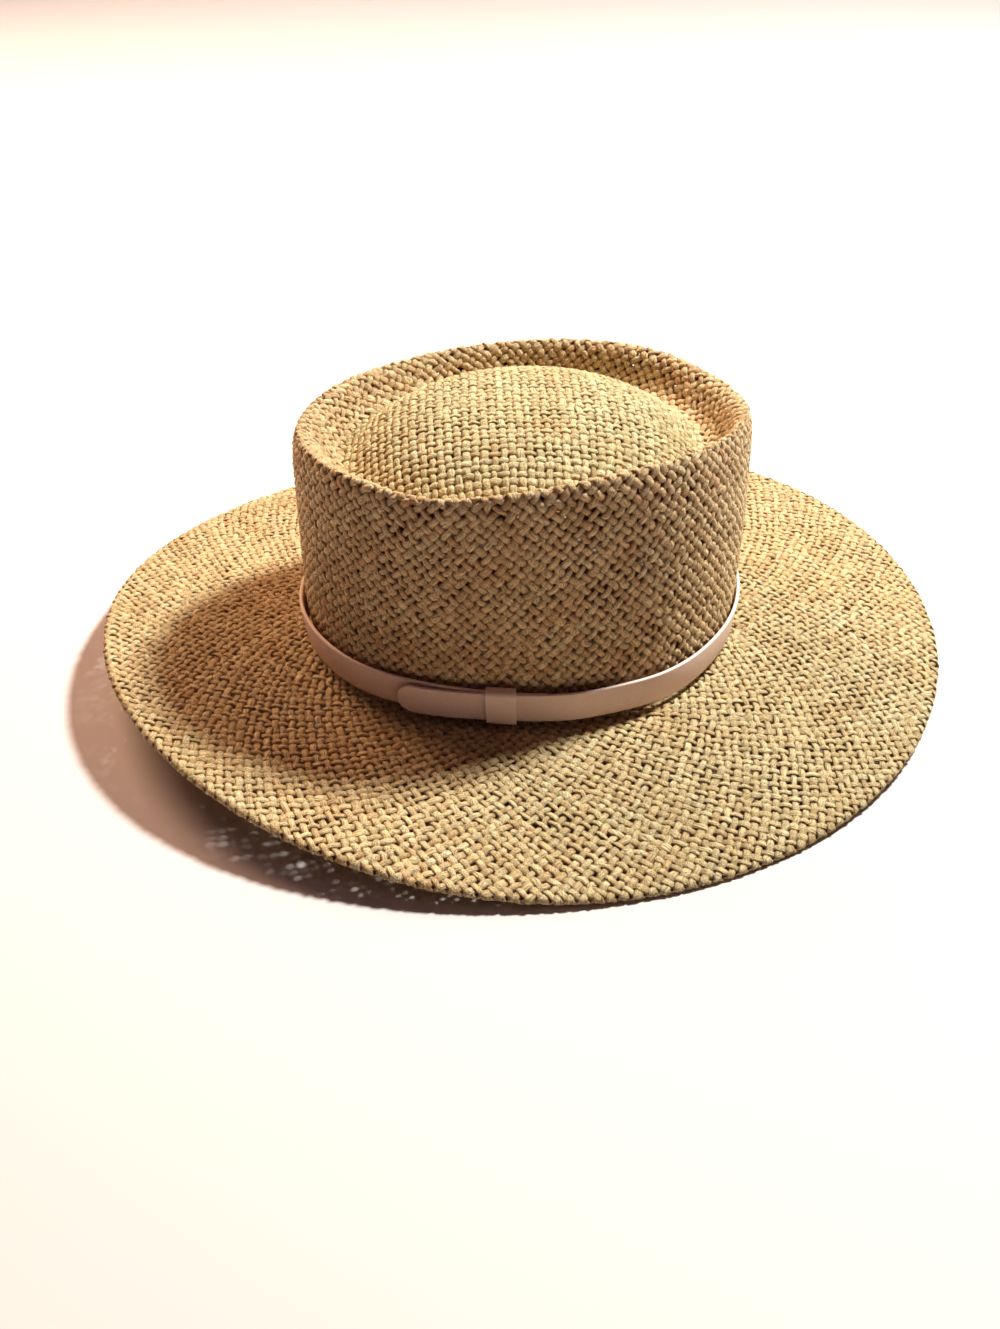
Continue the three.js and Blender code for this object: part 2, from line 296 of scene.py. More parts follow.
fineSteps = 8  # rows from one given row to the next
perRing = 6  # rows from one ring of crossings to the next
rows, footRow, hemRow = sheetRows()
fine = smoothRows(rows, fineSteps)
footAt, hemAt = footRow * fineSteps, hemRow * fineSteps
crownPart, brimPart = fine[: footAt + 1], fine[footAt:]
crownRings = round(meanLength(crownPart) / ringStep)
brimRings = round(meanLength(brimPart) / ringStep)
hemRing = crownRings + brimRings * meanLength(fine[footAt : hemAt + 1]) / meanLength(brimPart)
lastRing = crownRings + brimRings
sheet = np.concatenate([
    evenRows(crownPart, crownRings * perRing),
    evenRows(brimPart, brimRings * perRing)[1:],
])


# Slow waves: how many there are round the hat, their drift in radians a ring, phase and size
waveRows = [(3, 0.11, 0.7, 1.0), (5, -0.16, 2.1, 0.8), (8, 0.23, 0.0, 0.6)]
waveFades = {"hem": 12, "start": 6, "foot": 5}  # rings over which the waves set in beside each


# Slow waves of a hand-made sheet, none at the folded edge that the hat rests on
def addWaves(sheet):
    ring = np.arange(len(sheet))[:, None] / perRing
    turn = np.radians(columnAngles)[None]
    waves = sum(
        size * np.sin(count * turn + drift * ring + phase) for count, drift, phase, size in waveRows)
    fade = np.clip((hemRing - ring) / waveFades["hem"], 0, 1) * np.clip(ring / waveFades["start"], 0, 1)
    calm = np.clip(np.abs(ring - crownRings) / waveFades["foot"], 0, 1)
    return movedRows(sheet, (waves * fade * calm * weave["waviness"] / 2)[..., None])


sheet = addWaves(sheet)
sheetOut = unit(np.cross(np.gradient(sheet, axis=0), np.roll(sheet, -1, 1) - np.roll(sheet, 1, 1)))


# Point and outward direction of the sheet at (ring, degrees)
def sheetAt(places):
    row = places[:, 0] * perRing
    low = np.clip(np.floor(row).astype(int), 0, len(sheet) - 2)
    share = (row - low)[:, None]
    column = places[:, 1] % 360 * columns / 360
    left = np.floor(column).astype(int) % columns
    right = (left + 1) % columns
    across = (column - np.floor(column))[:, None]

    def read(table, part):
        return mix(mix(table[low, left], table[low, right], across),
                   mix(table[low + 1, left], table[low + 1, right], across), part)

    return read(sheet, share), unit(read(sheetOut, np.clip(share, 0, 1)))


# Distance round a ring from its first column to each of the others, and to itself again
def ringArcs(ring):
    points = sheet[ring * perRing]
    steps = np.linalg.norm(np.roll(points, -1, 0) - points, axis=1)
    return np.concatenate([[0], np.cumsum(steps)])


# Crossings of every ring by their angle. A crossing lies between two of the ring before, and new ones
# come in, each with a pair of straws, where their neighbours stand too far apart.
def layRings():
    leastSpread = 1e-6
    around = np.append(columnAngles, 360)
    arcs = ringArcs(0)
    count = round(arcs[-1] / crossingStep)
    rings = [np.interp(np.arange(count) * arcs[-1] / count, arcs, around)]
    links = []
    births = [(0, place) for place in range(count)]
    for ring in range(1, lastRing + 1):
        before = rings[-1]
        middles = (before + np.append(before[1:], before[0] + 360)) / 2
        arcs = ringArcs(ring)
        whole = arcs[-1]
        places = np.interp(middles % 360, around, arcs) + whole * (middles // 360)
        gaps = np.append(places[1:], places[0] + whole) - places
        # the gap after place i lies under crossing i + 1 of the ring before
        extra = max(0, int(whole / crossingStep) - len(places)) if ring < hemRing else 0
        spread = gaps.std() / weave["birthOrder"] + leastSpread
        widest = sorted(np.argsort(gaps + chance.normal(0, spread, len(gaps)))[::-1][:extra])
        index, filled, fresh = [], [], []
        for i, place in enumerate(places):
            index.append(len(filled))
            filled.append(place)
            if i in widest:
                fresh.append(len(filled))
                filled.append(place + gaps[i] / 2)
        filled = np.array(filled)
        for _ in range(weave["evenings"]):
            left = np.append(filled[-1] - whole, filled[:-1])
            right = np.append(filled[1:], filled[0] + whole)
            filled = filled + ((left + right) / 2 - filled) * weave["evening"]
        rings.append(np.interp(filled % whole, arcs, around) + 360 * (filled // whole))
        links.append(index)
        births += [(ring, place) for place in fresh]
    return rings, links, births


rings, links, births = layRings()
print("rings of crossings:", len(rings), "with", sum(len(ring) for ring in rings), "crossings")


# One straw of a family from where it comes in to the last ring: (ring, degrees) at each crossing.
# The first family runs on to the crossing after, the second to the one before.
def followStraw(ring, place, family, strays):
    path = []
    turns = 0
    while True:
        wander = strays[ring][place]
        path.append((ring + wander[0], rings[ring][place] + 360 * turns + wander[1]))
        if ring == lastRing:
            return np.array(path)
        here = place if family == 0 else (place - 1) % len(rings[ring])
        place = links[ring][here]
        ring += 1
        turns = round((path[-1][1] - rings[ring][place]) / 360)


# How far each crossing is off its place: (rings, degrees)
def strayTable():
    table = []
    for ring, angles in enumerate(rings):
        radius = ringArcs(ring)[-1] / (2 * math.pi)
        share = weave["hemStray"] if ring > hemRing - 1 else 1.0
        isLoose = chance.uniform(0, 1, len(angles)) < weave["looseShare"]
        loose = np.where(isLoose, weave["looseStray"], 1.0)
        size = weave["stray"] * share * loose
        table.append(np.stack([
            chance.uniform(-1, 1, len(angles)) * size / ringStep,
            np.degrees(chance.uniform(-1, 1, len(angles)) * size / radius),
        ], -1))
    return table


# Slowly changing chance value along a straw: the mean of a few rough ones, made as lively as they were
def slowChance(count):
    window, gain = 5, 1.6
    rough = chance.uniform(-1, 1, count + window - 1)
    return sum(rough[first : first + count] for first in range(window)) / window * gain


# Share of the pressing at the folded edge: none on the crown, some on the ironed brim
def pressedAt(ring):
    ironed = weave["brimPressed"] * np.clip((ring - crownRings) / weave["brimPressing"], 0, 1)
    folded = np.clip((ring - hemRing + weave["hemAhead"]) / weave["hemPressing"], 0, 1)
    return np.maximum(ironed, folded)


# A straw ready to be shaped: its places, heights over the sheet in metres, and where it starts and
# stops, counted in crossings
def makeStraw(places, heights, start, stop, pressed):
    count = len(places)
    middle, spread, change = weave["tint"]
    return {
        "places": places,
        "heights": heights,
        "start": start,
        "stop": stop,
        "width": chance.uniform(*weave["width"]) * (1 + weave["widthChange"] * slowChance(count)),
        "roll": np.radians(weave["roll"]) * slowChance(count),
        "thickness": mix(weave["thickness"], weave["hemThickness"], pressed),
        "tint": np.clip(middle + chance.normal(0, spread) + change * slowChance(count), 0, 1),
    }


# Every straw of the two families, cut where crown and brim meet. Each part reaches a little into the
# other, so the straws look whole.
def layStraws():
    strays = strayTable()
    crown, brim = [[], []], [[], []]
    for family in (0, 1):
        for ring, place in births:
            path = followStraw(ring, place, family, strays)
            ringsOf = ring + np.arange(len(path))
            over = np.where((ringsOf + family) % 2 == 0, 1, -1)
            pressed = pressedAt(ringsOf)
            heights = over * mix(weave["lift"], weave["hemLift"], pressed)
            before = path[0] - (path[1] - path[0]) * weave["startReach"]
            after = path[-1] + (path[-1] - path[-2]) * weave["endReach"]
            path = np.array([before, *path, after])
            heights = np.array([-weave["tuck"], *heights, weave["hemLift"]])
            pressed = np.array([pressed[0], *pressed, 1])
            cut = crownRings - ring + 1  # place of the crossing at the cut
            if cut > 1:
                reach = slice(0, cut + 2)
                stop = cut + weave["overlap"]
                crown[family].append(makeStraw(path[reach], heights[reach], 0, stop, pressed[reach]))
            first = max(0, cut - 1)
            start = 1 - weave["overlap"] if cut >= 1 else 0
            stop = len(path) - 1 - first
            brim[family].append(makeStraw(path[first:], heights[first:], start, stop, pressed[first:]))
    return crown, brim


# Dome from its middle to past its foot: share of its half width, and of domeRise
domeProfile = [
    (0, 1), (0.15, 0.9989), (0.30, 0.9869), (0.46, 0.939), (0.62, 0.821), (0.77, 0.610),
    (0.90, 0.316), (0.97, 0.115), (1.03, 0.02), (1.10, 0),
]


# Share of the dome's half width, height, and distance along the profile, in fine steps
def domeTables():
    steps = 220
    share, up = (np.array(column) for column in zip(*domeProfile))
    fineShare = np.linspace(0, share[-1], steps + 1)
    slopes = np.gradient(up, share)
    index = np.clip(np.searchsorted(share, fineShare, side="right") - 1, 0, len(share) - 2)
    step = share[index + 1] - share[index]
    part = (fineShare - share[index]) / step
    height = hat["domeRise"] * curvePoint(
        up[index], up[index + 1], slopes[index], slopes[index + 1], step, part)
    mean = domeHalf.mean()
    lengths = np.hypot(np.diff(fineShare) * mean, np.diff(height)) / mean
    return fineShare, height, np.concatenate([[0], np.cumsum(lengths)])


domeShare, domeHeight, domeFlat = domeTables()
domeTurn = math.radians(90 + weave["domeTurn"])
domeAlong = np.array([math.cos(domeTurn), math.sin(domeTurn)])
domeAcross = np.array([-domeAlong[1], domeAlong[0]])


# Point of the dome's outside. Distances on a flat weave become distances along the dome's profile.
def domePoint(flat):
    least = 1e-9
    level = flat[:, :1] * domeAlong + flat[:, 1:] * domeAcross
    reach = np.maximum(np.linalg.norm(level / domeHalf, axis=1), least)
    share = np.interp(reach, domeFlat, domeShare)
    level = level * (share / reach)[:, None]
    level[:, 1] -= hat["brimShift"]
    z = channelZ + np.interp(share, domeShare, domeHeight)
    return np.column_stack([level, z])


# Point and outward direction of the sheet of the dome
def domeAt(places):
    nudge = 0.0004
    point = domePoint(places)
    ahead = domePoint(places + [nudge, 0]) - domePoint(places - [nudge, 0])
    aside = domePoint(places + [0, nudge]) - domePoint(places - [0, nudge])
    out = unit(np.cross(ahead, aside))
    out *= np.sign(out[:, 2:])
    return point - out * hat["strawWall"] / 2, out


# A square weave laid over the dome from its middle
def layDome():
    pitch = weave["pitch"]
    fewest = 3  # crossings of the shortest straw
    past = 0.5  # how far a straw runs on past its outermost crossings, in crossings
    reach = np.interp(weave["domeReach"], domeShare, domeFlat)
    most = int(domeHalf[1] * reach / pitch) + 1
    strays = chance.uniform(-1, 1, (2 * most + 3, 2 * most + 3, 2)) * weave["stray"]

    def within(i, j):
        level = (i * domeAlong + j * domeAcross) * pitch
        return np.linalg.norm(level / domeHalf) < reach

    straws = []
    for family in (0, 1):
        for line in range(-most, most + 1):
            cells = [(k, line) if family == 0 else (line, k) for k in range(-most, most + 1)]
            cells = [cell for cell in cells if within(*cell)]
            if len(cells) < fewest:
                continue
            path = np.array([np.array([i, j]) * pitch + strays[i + most, j + most] for i, j in cells])
            over = np.array([1 if (i + j + family) % 2 == 0 else -1 for i, j in cells])
            before = path[0] * (1 + past) - path[1] * past
            after = path[-1] * (1 + past) - path[-2] * past
            path = np.array([before, *path, after])
            heights = np.array([-weave["tuck"], *(over * weave["lift"]), -weave["tuck"]])
            straws.append(makeStraw(path, heights, 0, len(path) - 1, np.zeros(len(path))))
    return straws


# Stations of a straw from its closed start to its closed end
def strawStations(straw):
    steps, end, endSize, plump = (weave[name] for name in ("steps", "endLength", "endSize", "plump"))
    start, stop = straw["start"], straw["stop"]
    first = math.ceil((start + 2 * end) * steps)
    last = math.floor((stop - 2 * end) * steps)
    inner = np.arange(first, last + 1) / steps
    at = np.concatenate([[start, start + end], inner, [stop - end, stop]])
    size = np.concatenate([[0, endSize], np.ones(len(inner)), [endSize, 0]])
    index = np.arange(len(straw["places"]))
    low = np.clip(np.floor(at).astype(int), 0, len(index) - 2)
    swing = (1 - np.cos(np.pi * (at - low))) / 2
    height = mix(straw["heights"][low], straw["heights"][low + 1], swing)
    places = np.column_stack([np.interp(at, index, column) for column in straw["places"].T])
    fullness = 1 - plump + plump * np.cos(2 * np.pi * at)
    width = np.interp(at, index, straw["width"]) * size * fullness
    thickness = np.interp(at, index, straw["thickness"]) * size
    tint = np.interp(at, index, straw["tint"])
    roll = np.interp(at, index, straw["roll"])
    return places, height, width, thickness, at, tint, roll


# Closed tubes through rows of points. A row holds one turn with its first point repeated, and the tube
# is open in the grid behind each row of breaks.
def tubePiece(name, rows, breaks, along, shades):
    weld = 1e-7
    count, around = rows.shape[:2]
    bm = bmesh.new()
    bm.loops.layers.uv.new("UVMap")
    numberOf = bm.verts.layers.int.new("number")
    bmesh.ops.create_grid(bm, x_segments=around - 1, y_segments=count - 1, size=1, calc_uvs=True)
    bm.faces.ensure_lookup_table()
    links = [bm.faces[row * (around - 1) + side] for row in breaks for side in range(around - 1)]
    bmesh.ops.delete(bm, geom=links, context="FACES")
    for number, (vert, place) in enumerate(zip(bm.verts, rows.reshape(-1, 3).tolist())):
        vert.co = place
        vert[numberOf] = number
    bmesh.ops.remove_doubles(bm, verts=bm.verts[:], dist=weld)
    bmesh.ops.recalc_face_normals(bm, faces=bm.faces[:])
    mesh = bpy.data.meshes.new(name)
    bm.to_mesh(mesh)
    bm.free()
    mesh.shade_smooth()
    number = np.empty(len(mesh.vertices), np.int32)
    mesh.attributes["number"].data.foreach_get("value", number)
    mesh.attributes.remove(mesh.attributes["number"])
    corner = np.empty(len(mesh.loops), np.int32)
    mesh.loops.foreach_get("vertex_index", corner)
    uv = np.empty(len(mesh.loops) * 2, np.float32)
    layer = mesh.uv_layers["UVMap"].uv
    layer.foreach_get("vector", uv)
    uv[1::2] = along[number[corner] // around]
    layer.foreach_set("vector", uv)
    for label, values in shades.items():
        perPoint = values.ravel()[number] if values.ndim == 2 else values[number // around]
        shade = mesh.attributes.new(label, "FLOAT", "POINT")
        shade.data.foreach_set("value", perPoint.astype(np.float32))
    piece = bpy.data.objects.new(name, mesh)
    bpy.context.collection.objects.link(piece)
    mesh.calc_loop_triangles()
    print(name, len(mesh.loop_triangles), "triangles")
    return piece


# All the straws of a piece, on the sheet that surface gives
def strawPiece(name, straws, surface):
    parts = [strawStations(straw) for straw in straws]
    counts = [len(part[0]) for part in parts]
    places, height, width, thickness, at, tint, roll = (np.concatenate(column) for column in zip(*parts))
    ends = np.cumsum(counts)
    starts = ends - counts
    point, out = surface(places)
    centre = point + out * height[:, None]
    step = np.empty_like(centre)
    step[1:-1] = centre[2:] - centre[:-2]
    step[starts] = centre[starts + 1] - centre[starts]
    step[ends - 1] = centre[ends - 1] - centre[ends - 2]
    along = unit(step)
    across = unit(np.cross(along, out))
    upright = np.cross(across, along)
    cosine, sine = np.cos(roll)[:, None], np.sin(roll)[:, None]
    across, upright = across * cosine + upright * sine, upright * cosine - across * sine
    turn = np.linspace(0, 2 * np.pi, weave["sides"] + 1)
    rows = (
        centre[:, None]
        + across[:, None] * (np.cos(turn)[None, :, None] * width[:, None, None] / 2)
        + upright[:, None] * (np.sin(turn)[None, :, None] * thickness[:, None, None] / 2)
    )
    rows[:, -1] = rows[:, 0]
    # lifted is the straw's height in the weave; the finish darkens its low places with painted shade
    shades = {"tint": tint, "lifted": np.clip(height / weave["lift"], -1, 1) / 2 + 0.5}
    return tubePiece(name, rows, ends[:-1] - 1, at, shades)


brimParts = 2
strawPieces = {}
crownStraws, brimStraws = layStraws()
strawPieces["dome_straws"] = strawPiece("dome_straws", layDome(), domeAt)
for family, hand in enumerate(("left", "right")):
    strawPieces[f"crown_straws_{hand}"] = strawPiece(f"crown_straws_{hand}", crownStraws[family], sheetAt)
    straws = brimStraws[family]
    for number in range(brimParts):
        part = straws[number * len(straws) // brimParts : (number + 1) * len(straws) // brimParts]
        name = f"brim_straws_{hand}_{number + 1}"
        strawPieces[name] = strawPiece(name, part, sheetAt)
for name, piece in strawPieces.items():
    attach(piece, "root")
    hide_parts("brim" if name.startswith("brim") else "crown")
print("straws laid")

# Leather strap and its keeper, at their places round the crown's foot
band = {
    "height": 0.0142,
    "thickness": 0.0016,
    "endRadius": 0.0058,
    "slack": 0.0009,  # widest space that the strap leaves beyond the room of its keeper
    "lapRise": 0.0008,  # how much higher the strap's beginning lies under its end
    "keeperWidth": 0.0114,
    "keeperThickness": 0.0012,
    "keeperAngle": -24,  # degrees round the hat
    "startAngle": -13,
    "endAngle": -48.4,
    "gap": 0.0003,  # between leather and what lies next to it
    "edgeRound": 0.00055,  # worn edges of the strap
    "keeperRound": 0.0022,
    "keeperEdge": 0.00035,
    "wear": 0.0011,  # width of the worn margin
    "stations": 420,  # sections along the strap
    "endStations": 12,  # sections of its rounded end
    "capShare": 0.08,  # how far the ends' faces are drawn in beside their edge
    "strapCorner": 4,  # edges of a round corner
    "keeperCorner": 5,
    "keeperBetween": 6,  # points between the keeper's corners
    "sideBetween": 8,  # points across the keeper's width
}
# Degrees round the hat, share of the keeper's room behind the strap, share of slack
standoffRows = [
    (-150, 0.30, 0.00), (-110, 0.35, 0.10), (-85, 1.00, 0.80), (-50, 1.00, 0.50), (-24, 1.00, 0.35),
    (0, 1.00, 0.40), (45, 0.70, 0.10), (90, 0.20, 0.00), (160, 0.30, 0.10),
]
# Degrees turned since the strap's beginning, share of lapRise, layers of the strap below. The tip stands
# off a little.
lapRows = [
    (0, -1, 0), (27, 1, 0), (47, 1, 0), (97, 0, 0), (338, 0, 0), (356, 0, 1), (376, 0, 1), (397, 0, 1.9),
]

layerStep = band["thickness"] + band["gap"]
roomBehindKeeper = band["keeperThickness"] + 2 * band["gap"]
bendLeft = hat["bendRadius"] - band["gap"]
strapLift = hat["bendRadius"] - math.sqrt(hat["bendRadius"] ** 2 - bendLeft**2) + roomBehindKeeper
strapTurns = 360 + band["startAngle"] - band["endAngle"]
degreesPerMetre = 360 / (math.pi * footHalf.sum())


# Smooth steps between the rows of lapRows
def readAlong(column, turn):
    knots = np.array([row[0] for row in lapRows], float)
    values = np.array([row[column] for row in lapRows], float)
    index = np.clip(np.searchsorted(knots, turn, side="right") - 1, 0, len(knots) - 2)
    share = np.clip((turn - knots[index]) / (knots[index + 1] - knots[index]), 0, 1)
    return mix(values[index], values[index + 1], share**2 * (3 - 2 * share))


# Angle, space behind the strap and height of its lower edge
def strapPlace(turn):
    angle = band["startAngle"] - turn
    room = readRound([(row[0], row[1]) for row in standoffRows], angle)
    slack = band["slack"] * readRound([(row[0], row[2]) for row in standoffRows], angle)
    off = mix(2 * band["gap"], roomBehindKeeper, room) + slack + layerStep * readAlong(2, turn)
    return angle, off, footZ(angle) + strapLift + band["lapRise"] * readAlong(1, turn)


# Point at a distance from the crown's wall, and at a height
def besideWall(angle, off, z):
    point = wallPoint(angle, (z - footZ(angle)) / (crestZ(angle) - footZ(angle)))
    turn = np.radians(angle)
    away = unit(np.stack([np.cos(turn) / footHalf[0], np.sin(turn) / footHalf[1], 0 * turn], -1))
    point = point + away * np.asarray(off)[..., None]
    point[..., 2] = z
    return point


# Rectangle with round corners as (off, up) pairs, its first point repeated at the end. Each straight
# side has the same number of points between its corners.
def roundedSection(near, far, low, high, radius, corner, between=0):
    points = []
    for middleOff, middleUp, start in (
        (far - radius, low + radius, -90), (far - radius, high - radius, 0),
        (near + radius, high - radius, 90), (near + radius, low + radius, 180),
    ):
        for step in range(corner + 1):
            turn = math.radians(start + 90 * step / corner)
            points.append((middleOff + radius * math.cos(turn), middleUp + radius * math.sin(turn)))
    points = np.array([*points, points[0]])
    finer = []
    for number, (start, end) in enumerate(zip(points[:-1], points[1:])):
        parts = between + 1 if number % (corner + 1) == corner else 1
        finer += [mix(start, end, part / parts) for part in range(parts)]
    return np.array([*finer, points[-1]])


# Sections along the strap, the last ones cut back to its rounded end
def makeStrap():
    end = band["endRadius"]
    roundTurns = end * degreesPerMetre
    straight = np.linspace(0, strapTurns - roundTurns, band["stations"])
    bend = np.radians(np.linspace(0, 90, band["endStations"] + 1)[1:])
    turns = np.concatenate([straight, strapTurns - roundTurns * (1 - np.sin(bend))])
    insets = np.concatenate([0 * straight, end * (1 - np.cos(bend))])
    rows, wear = [], []
    for turn, inset in zip(turns, insets):
        angle, off, bottom = strapPlace(np.array(turn))
        low, high = bottom + inset, bottom + band["height"] - inset
        far = off + band["thickness"]
        section = roundedSection(off, far, low, high, band["edgeRound"], band["strapCorner"])
        rows.append(besideWall(np.full(len(section), angle), section[:, 0], section[:, 1]))
        toEdge = np.minimum(section[:, 1] - low, high - section[:, 1])
        toEdge = np.minimum(toEdge, (strapTurns - turn) / degreesPerMetre)
        wear.append(np.clip(1 - toEdge / band["wear"], 0, 1))
    # both ends close on a point in their middle, with an edge as round as the long ones
    for share in (band["capShare"], 1):
        rows = [mix(rows[0], rows[0].mean(0), share), *rows, mix(rows[-1], rows[-1].mean(0), share)]
        wear = [wear[0], *wear, wear[-1]]
    along = np.concatenate([[0, 0], turns, [turns[-1]] * 2]) / degreesPerMetre
    return tubePiece("leather_strap", np.array(rows), [], along, {"worn": np.array(wear)})


# A ring of sections round the strap, from the inner face over one end to the outer face and back
def makeKeeper():
    millimetre = 0.001
    half, wall = band["keeperWidth"] / 2, band["keeperThickness"]
    middle = band["startAngle"] - band["keeperAngle"]
    profile = roundedSection(
        0, wall, -half, half, band["keeperEdge"], band["strapCorner"], band["sideBetween"])
    rows, wear = [], []
    for grow, side in profile:
        turn = np.array(middle + side * degreesPerMetre)
        angle, off, bottom = strapPlace(turn)
        _, overOff, overBottom = strapPlace(turn + 360)
        near, far = off - band["gap"] - grow, overOff + band["thickness"] + band["gap"] + grow
        low = min(bottom, overBottom) - band["gap"] - grow
        high = max(bottom, overBottom) + band["height"] + band["gap"] + grow
        corner = mix(band["gap"], band["keeperRound"], grow / wall)
        section = roundedSection(
            near, far, low, high, corner, band["keeperCorner"], band["keeperBetween"])
        rows.append(besideWall(np.full(len(section), angle), section[:, 0], section[:, 1]))
        wear.append(np.full(len(section), np.clip(1 - (half - abs(side)) / band["wear"], 0, 1)))
    along = np.arange(len(rows)) * millimetre
    return tubePiece("leather_keeper", np.array(rows), [], along, {"worn": np.array(wear)})


leatherPieces = {"band_strap": makeStrap(), "band_keeper": makeKeeper()}
for node, piece in leatherPieces.items():
    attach(piece, "root")
    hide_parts(node)
print("leather laid")

# Finishes. A helper places one node and links or sets its inputs.
def addNode(tree, kind, inputs=(), **settings):
    node = tree.nodes.new(kind)
    for name, value in settings.items():
        setattr(node, name, value)
    for name, value in dict(inputs).items():
        if isinstance(value, bpy.types.NodeSocket):
            tree.links.new(value, node.inputs[name])
        else:
            node.inputs[name].default_value = value
    return node


def addMath(tree, operation, first, second=0.0):
    return addNode(tree, "ShaderNodeMath", {0: first, 1: second}, operation=operation).outputs[0]


def addMix(tree, share, first, second, blend="MIX"):
    node = addNode(tree, "ShaderNodeMix", data_type="RGBA", blend_type=blend)
    colours = [socket for socket in node.inputs if socket.type == "RGBA"]
    for socket, value in zip([node.inputs["Factor"], *colours], (share, first, second)):
        if isinstance(value, bpy.types.NodeSocket):
            tree.links.new(value, socket)
        else:
            socket.default_value = value
    return next(socket for socket in node.outputs if socket.type == "RGBA")


def addRange(tree, value, fromMin, fromMax, toMin=0.0, toMax=1.0):
    return addNode(tree, "ShaderNodeMapRange", {
        "Value": value, "From Min": fromMin, "From Max": fromMax, "To Min": toMin, "To Max": toMax,
    }).outputs[0]


def addNoise(tree, place, scale, detail, roughness=0.5):
    inputs = {"Vector": place, "Scale": scale, "Detail": detail, "Roughness": roughness}
    return addNode(tree, "ShaderNodeTexNoise", inputs).outputs["Fac"]


def addGrey(tree, value):
    inputs = {"Red": value, "Green": value, "Blue": value}
    return addNode(tree, "ShaderNodeCombineColor", inputs).outputs[0]


def addGroup(name, inputs, outputs):
    tree = bpy.data.node_groups.new(name, "ShaderNodeTree")
    for label, kind in inputs:
        tree.interface.new_socket(label, in_out="INPUT", socket_type=kind)
    for label, kind in outputs:
        tree.interface.new_socket(label, in_out="OUTPUT", socket_type=kind)
    return tree, tree.nodes.new("NodeGroupInput").outputs, tree.nodes.new("NodeGroupOutput").inputs


# A finish: a group with its own values and the piece's attributes gives colour, roughness and height
def addFinish(name, group, shades, look, surface):
    material = bpy.data.materials.new(name)
    material.use_nodes = True
    tree = material.node_tree
    shader = tree.nodes["Principled BSDF"]
    finish = addNode(tree, "ShaderNodeGroup", node_tree=group)
    for label in shades:
        shade = addNode(tree, "ShaderNodeAttribute", attribute_name=label.lower())
        tree.links.new(shade.outputs["Fac"], finish.inputs[label])
    for label, value in look.items():
        finish.inputs[label].default_value = value
    relief = addNode(tree, "ShaderNodeBump", {
        "Height": finish.outputs["Height"], "Strength": surface["relief"], "Distance": surface["depth"]})
    tree.links.new(finish.outputs["Color"], shader.inputs["Base Color"])
    tree.links.new(finish.outputs["Roughness"], shader.inputs["Roughness"])
    tree.links.new(relief.outputs[0], shader.inputs["Normal"])
    shader.inputs["Specular IOR Level"].default_value = surface["gloss"]
    return material


# A range is given as values from and to, and what they become
fibreLook = {
    "noiseDetail": 3.0,
    "noiseRoughness": 0.6,
    "stretch": 0.22,  # how far the fibres change from one crossing to the next
    "apart": 53.0,  # how far they differ between straws, over all tints
    "patchDetail": 2.0,
    "patchTone": 0.7,  # how much the patches change the tone
    "deepToMiddle": (0.05, 0.45),  # tones between the colours
    "middleToPale": (0.45, 0.95),
    "streaks": (0.40, 0.52, 0.55, 1.04),  # brightness
    "shadeInHollows": (0.0, 0.75, 1.0, 0.0),  # share of the painted shade colour for low places, by height in the weave
    "rough": (0.3, 0.7, 0.70, 0.42),  # the surface's roughness
}


# Paper straw: fibres run along each straw with a slight twist, the straws differ, and painted shade
# darkens the hollows where a straw dives under its neighbours
def strawFibreGroup():
    look = fibreLook
    tree, given, result = addGroup(
        "strawFibre",
        [("Tint", "NodeSocketFloat"), ("Lifted", "NodeSocketFloat"), ("Pale", "NodeSocketColor"),
         ("Middle", "NodeSocketColor"), ("Deep", "NodeSocketColor"), ("HollowShade", "NodeSocketColor"),
         ("Twist", "NodeSocketFloat"), ("Fibres", "NodeSocketFloat"), ("Patches", "NodeSocketFloat")],
        [("Color", "NodeSocketColor"), ("Roughness", "NodeSocketFloat"), ("Height", "NodeSocketFloat")],
    )
    uv = addNode(tree, "ShaderNodeUVMap", uv_map="UVMap").outputs[0]
    split = addNode(tree, "ShaderNodeSeparateXYZ", {0: uv}).outputs
    turn = addMath(tree, "MULTIPLY", split["X"], 2 * math.pi)
    turn = addMath(tree, "ADD", turn, addMath(tree, "MULTIPLY", split["Y"], given["Twist"]))
    along = addMath(tree, "ADD", addMath(tree, "MULTIPLY", split["Y"], look["stretch"]),
                    addMath(tree, "MULTIPLY", given["Tint"], look["apart"]))
    spot = addNode(tree, "ShaderNodeCombineXYZ", {
        "X": addMath(tree, "COSINE", turn), "Y": addMath(tree, "SINE", turn), "Z": along}).outputs[0]
    fibre = addNoise(tree, spot, given["Fibres"], look["noiseDetail"], look["noiseRoughness"])
    place = addNode(tree, "ShaderNodeTexCoord").outputs["Object"]
    patch = addNoise(tree, place, given["Patches"], look["patchDetail"])
    patch = addMath(tree, "MULTIPLY", addMath(tree, "SUBTRACT", patch, 0.5), look["patchTone"])
    tone = addMath(tree, "ADD", given["Tint"], patch)
    low = addRange(tree, tone, *look["deepToMiddle"])
    high = addRange(tree, tone, *look["middleToPale"])
    colour = addMix(tree, low, given["Deep"], given["Middle"])
    colour = addMix(tree, high, colour, given["Pale"])
    streak = addRange(tree, fibre, *look["streaks"])
    colour = addMix(tree, 1.0, colour, addGrey(tree, streak), "MULTIPLY")
    # painted shade: the colour darkens towards the hollow colour where the straw lies low in the weave
    depth = addRange(tree, given["Lifted"], *look["shadeInHollows"])
    colour = addMix(tree, depth, colour, addMix(tree, 1.0, colour, given["HollowShade"], "MULTIPLY"))
    rough = addRange(tree, fibre, *look["rough"])
    for label, value in (("Color", colour), ("Roughness", rough), ("Height", fibre)):
        tree.links.new(value, result[label])
    return tree


strawFibre = strawFibreGroup()
